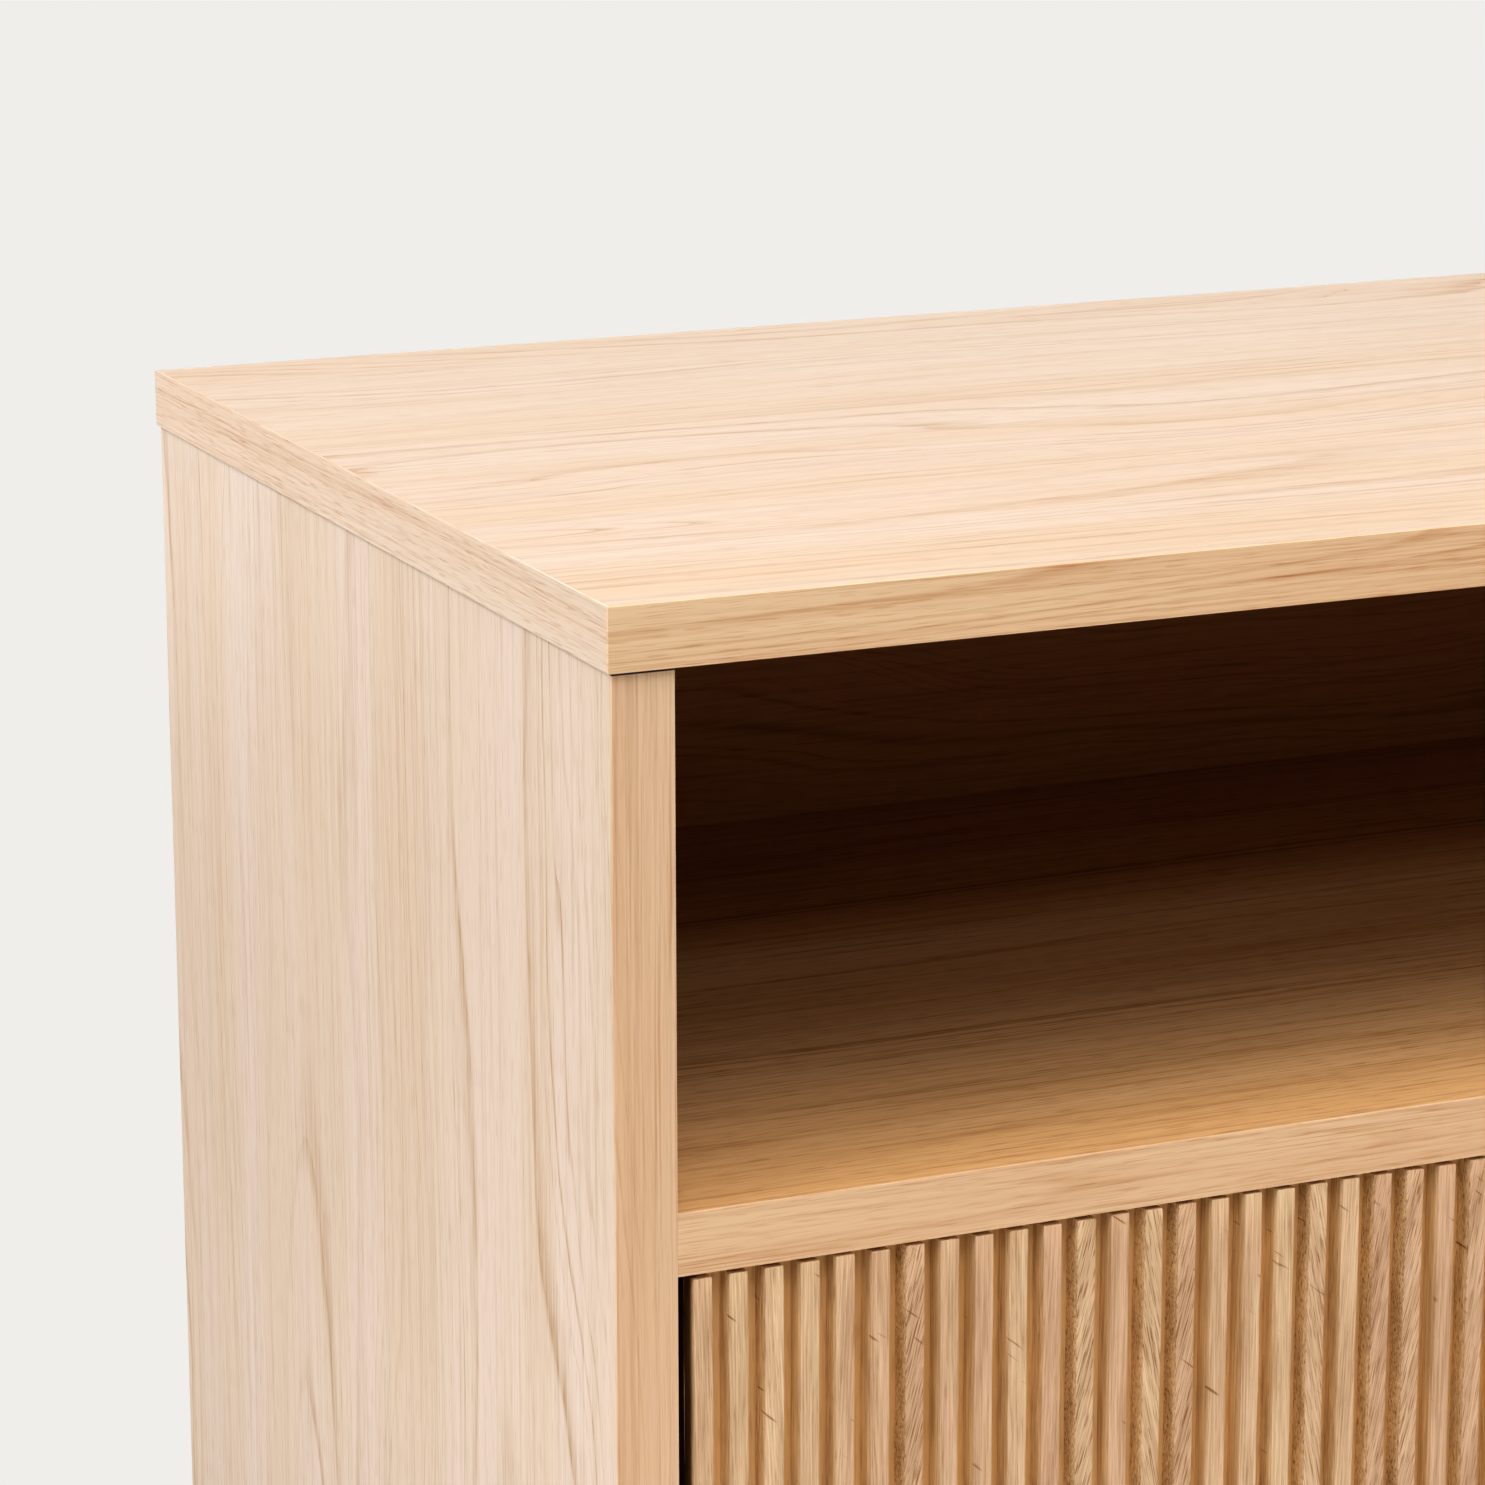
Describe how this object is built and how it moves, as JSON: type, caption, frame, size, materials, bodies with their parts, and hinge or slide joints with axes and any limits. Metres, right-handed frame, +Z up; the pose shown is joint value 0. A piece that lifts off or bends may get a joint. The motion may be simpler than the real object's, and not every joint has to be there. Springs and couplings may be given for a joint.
{
  "type": "media cabinet",
  "caption": "Long low media cabinet in pale oak veneer with an open compartment under the top and inset doors faced with narrow upright oak slats.",
  "frame": {"origin": "centre of the footprint, on the floor", "axes": "+X along the width, the doors face -Y, +Z up"},
  "size_m": [1.6, 0.395, 0.55],
  "materials": {
    "oak_veneer": "matt lacquered oak veneer, grain along the width",
    "oak_veneer_upright": "matt lacquered oak veneer, grain upright",
    "oak_edging": "oak veneer edge strip, grain along the edge",
    "oak_veneer_back": "oak veneered fibreboard",
    "solid_oak": "solid rustic oak slats, each with its own tone",
    "stained_board": "brown stained board behind the slats",
    "beech": "raw fluted beech",
    "zinc_plated_steel": "bright zinc plate",
    "zinc_die_cast": "dull die-cast zinc",
    "bright_steel": "turned steel",
    "black_plastic": "matt black moulding",
    "grey_plastic": "matt grey moulding",
    "glide_plastic": "hard dark glide plastic",
    "nylon": "white nylon"
  },
  "bodies": {
    "carcass": {"top_panel": "oak_veneer", "top_front_edge": "oak_edging", "top_left_edge": "oak_edging", "top_right_edge": "oak_edging", "left_side_panel": "oak_veneer_upright", "right_side_panel": "oak_veneer_upright", "left_side_edge": "oak_edging", "right_side_edge": "oak_edging", "middle_shelf": "oak_veneer", "middle_shelf_edge": "oak_edging", "bottom_panel": "oak_veneer", "bottom_panel_edge": "oak_edging", "upper_divider": "oak_veneer_upright", "upper_divider_edge": "oak_edging", "lower_divider": "oak_veneer_upright", "lower_divider_edge": "oak_edging", "left_back_panel": "oak_veneer_back", "right_back_panel": "oak_veneer_back", "back_batten": "oak_veneer_back", "front_plinth": "oak_veneer", "rear_plinth": "oak_veneer", "plinth_stretcher": "oak_veneer", "floor_glides": "glide_plastic", "cable_grommets": "black_plastic", "cam_bolts": "zinc_plated_steel", "cam_housings": "zinc_die_cast", "dowels": "beech", "back_panel_screws": "zinc_plated_steel", "batten_screws": "zinc_plated_steel", "latch_screws": "zinc_plated_steel", "pivot_bushes": "nylon", "latch_housings": "grey_plastic"},
    "door_1": {"door_1_board": "stained_board", "door_1_slats": "solid_oak", "door_1_pins": "bright_steel", "door_1_strike": "bright_steel"},
    "door_2": {"door_2_board": "stained_board", "door_2_slats": "solid_oak", "door_2_pins": "bright_steel", "door_2_strike": "bright_steel"},
    "door_3": {"door_3_board": "stained_board", "door_3_slats": "solid_oak", "door_3_pins": "bright_steel", "door_3_strike": "bright_steel"},
    "door_4": {"door_4_board": "stained_board", "door_4_slats": "solid_oak", "door_4_pins": "bright_steel", "door_4_strike": "bright_steel"},
    "plunger_1": {"latch_1_plunger": "nylon"},
    "plunger_2": {"latch_2_plunger": "nylon"},
    "plunger_3": {"latch_3_plunger": "nylon"},
    "plunger_4": {"latch_4_plunger": "nylon"}
  },
  "joints": [
    {"name": "door_1_hinge", "type": "hinge", "parent": "carcass", "child": "door_1", "pos_m": [-0.75458, -0.1825, 0.22], "axis": [0, 0, -1], "range_deg": [0, 110]},
    {"name": "door_2_hinge", "type": "hinge", "parent": "carcass", "child": "door_2", "pos_m": [-0.03492, -0.1825, 0.22], "axis": [0, 0, 1], "range_deg": [0, 90]},
    {"name": "door_3_hinge", "type": "hinge", "parent": "carcass", "child": "door_3", "pos_m": [0.03492, -0.1825, 0.22], "axis": [0, 0, -1], "range_deg": [0, 90]},
    {"name": "door_4_hinge", "type": "hinge", "parent": "carcass", "child": "door_4", "pos_m": [0.75458, -0.1825, 0.22], "axis": [0, 0, 1], "range_deg": [0, 110]},
    {"name": "latch_1_slide", "type": "slide", "parent": "carcass", "child": "plunger_1", "axis": [0, -1, 0], "range_m": [0, 0.0102]},
    {"name": "latch_2_slide", "type": "slide", "parent": "carcass", "child": "plunger_2", "axis": [0, -1, 0], "range_m": [0, 0.0102]},
    {"name": "latch_3_slide", "type": "slide", "parent": "carcass", "child": "plunger_3", "axis": [0, -1, 0], "range_m": [0, 0.0102]},
    {"name": "latch_4_slide", "type": "slide", "parent": "carcass", "child": "plunger_4", "axis": [0, -1, 0], "range_m": [0, 0.0102]}
  ],
  "couplings": [
    {"joint": "latch_1_slide", "follows": "door_1_hinge", "m_per_rad": 0.005209},
    {"joint": "latch_2_slide", "follows": "door_2_hinge", "m_per_rad": 0.006366},
    {"joint": "latch_3_slide", "follows": "door_3_hinge", "m_per_rad": 0.006366},
    {"joint": "latch_4_slide", "follows": "door_4_hinge", "m_per_rad": 0.005209}
  ]
}
